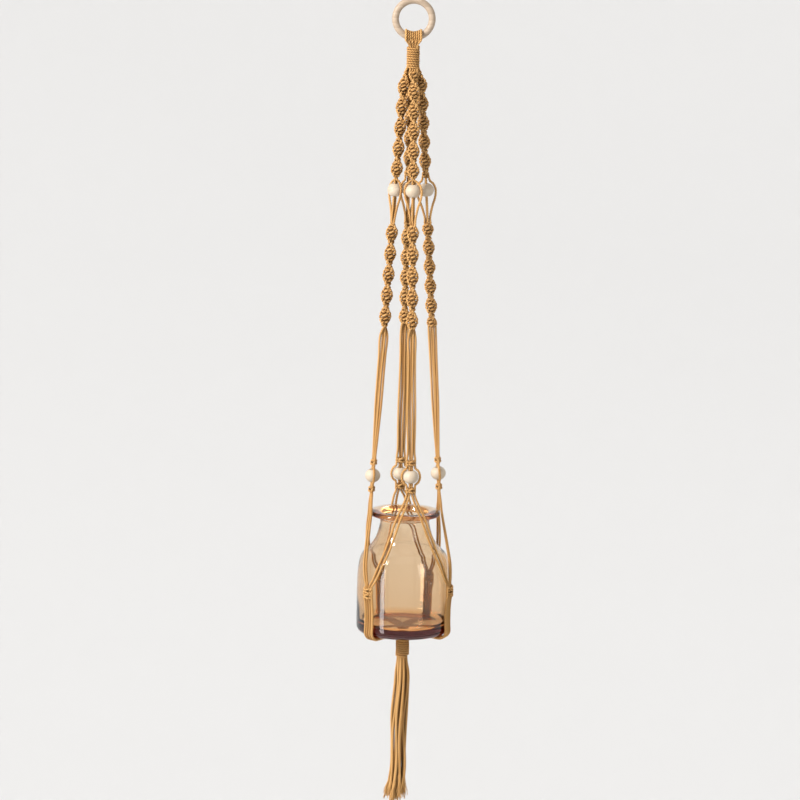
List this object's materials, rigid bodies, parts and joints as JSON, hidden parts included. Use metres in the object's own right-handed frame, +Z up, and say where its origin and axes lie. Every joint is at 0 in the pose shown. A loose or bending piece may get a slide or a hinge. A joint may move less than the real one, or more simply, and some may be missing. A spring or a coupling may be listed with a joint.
{
  "type": "hanging macrame planter",
  "caption": "Knotted cord plant hanger on a wooden ring, with spiral sinnets, wooden beads and a tassel, cradling a flanged glass jar.",
  "frame": {"origin": "top of the ring's hole, where the ceiling hook carries the planter", "axes": "+Z up along the hanging object; +X to the right and +Y away from someone who faces the ring's flat side"},
  "size_m": [0.1132, 0.1107, 0.95],
  "materials": {
    "cord": "matte twisted cotton cord, golden mustard",
    "wood": "satin, pale unvarnished beech",
    "glass": "clear smoky amber glass"
  },
  "bodies": {
    "ring": {"wooden_ring": "wood"},
    "hanger": {"back_left_cradle_band": "cord", "back_left_joining_knot": "cord", "back_lower_bead_cords": "cord", "back_middle_sinnet": "cord", "back_right_cradle_band": "cord", "back_right_joining_knot": "cord", "back_split_knot": "cord", "back_stop_knot": "cord", "back_straight_cords": "cord", "back_to_back_left_pair": "cord", "back_to_back_right_pair": "cord", "back_upper_bead_cords": "cord", "back_upper_sinnet": "cord", "base_gather": "cord", "base_wrap": "cord", "front_left_cradle_band": "cord", "front_left_joining_knot": "cord", "front_lower_bead_cords": "cord", "front_middle_sinnet": "cord", "front_right_cradle_band": "cord", "front_right_joining_knot": "cord", "front_split_knot": "cord", "front_stop_knot": "cord", "front_straight_cords": "cord", "front_to_front_left_pair": "cord", "front_to_front_right_pair": "cord", "front_upper_bead_cords": "cord", "front_upper_sinnet": "cord", "left_lower_bead_cords": "cord", "left_middle_sinnet": "cord", "left_split_knot": "cord", "left_stop_knot": "cord", "left_straight_cords": "cord", "left_to_back_left_pair": "cord", "left_to_front_left_pair": "cord", "left_upper_bead_cords": "cord", "left_upper_sinnet": "cord", "right_lower_bead_cords": "cord", "right_middle_sinnet": "cord", "right_split_knot": "cord", "right_stop_knot": "cord", "right_straight_cords": "cord", "right_to_back_right_pair": "cord", "right_to_front_right_pair": "cord", "right_upper_bead_cords": "cord", "right_upper_sinnet": "cord", "ring_fold": "cord", "top_wrap": "cord"},
    "jar": {"glass_jar": "glass"},
    "tassel_end": {"tassel": "cord"},
    "right_upper_slider": {"right_upper_bead": "wood"},
    "right_lower_spinner": {"right_lower_bead": "wood"},
    "back_upper_slider": {"back_upper_bead": "wood"},
    "back_lower_spinner": {"back_lower_bead": "wood"},
    "left_upper_slider": {"left_upper_bead": "wood"},
    "left_lower_spinner": {"left_lower_bead": "wood"},
    "front_upper_slider": {"front_upper_bead": "wood"},
    "front_lower_spinner": {"front_lower_bead": "wood"}
  },
  "joints": [
    {"name": "ring_swing", "type": "hinge", "parent": "ring", "child": "hanger", "pos_m": [0, 0, -0.038], "axis": [1, 0, 0], "range_deg": [-80, 80]},
    {"name": "jar_turn", "type": "hinge", "parent": "hanger", "child": "jar", "pos_m": [0, 0, -0.7], "axis": [0, 0, 1], "continuous": true},
    {"name": "tassel_swing", "type": "hinge", "parent": "hanger", "child": "tassel_end", "pos_m": [0, 0, -0.775], "axis": [0, 1, 0], "range_deg": [-45, 45]},
    {"name": "right_upper_bead_slide", "type": "slide", "parent": "hanger", "child": "right_upper_slider", "axis": [-0.0613, -0.0097, 0.9981], "range_m": [-0.004, 0]},
    {"name": "right_lower_bead_spin", "type": "hinge", "parent": "hanger", "child": "right_lower_spinner", "pos_m": [0.03839, 0.00608, -0.546], "axis": [-0.0613, -0.0097, 0.9981], "continuous": true},
    {"name": "back_upper_bead_slide", "type": "slide", "parent": "hanger", "child": "back_upper_slider", "axis": [0.0097, -0.0613, 0.9981], "range_m": [-0.004, 0]},
    {"name": "back_lower_bead_spin", "type": "hinge", "parent": "hanger", "child": "back_lower_spinner", "pos_m": [-0.00615, 0.03882, -0.553], "axis": [0.0097, -0.0613, 0.9981], "continuous": true},
    {"name": "left_upper_bead_slide", "type": "slide", "parent": "hanger", "child": "left_upper_slider", "axis": [0.0613, 0.0097, 0.9981], "range_m": [-0.004, 0]},
    {"name": "left_lower_bead_spin", "type": "hinge", "parent": "hanger", "child": "left_lower_spinner", "pos_m": [-0.03851, -0.0061, -0.548], "axis": [0.0613, 0.0097, 0.9981], "continuous": true},
    {"name": "front_upper_bead_slide", "type": "slide", "parent": "hanger", "child": "front_upper_slider", "axis": [-0.0097, 0.0613, 0.9981], "range_m": [-0.004, 0]},
    {"name": "front_lower_bead_spin", "type": "hinge", "parent": "hanger", "child": "front_lower_spinner", "pos_m": [0.00605, -0.0382, -0.543], "axis": [-0.0097, 0.0613, 0.9981], "continuous": true}
  ]
}
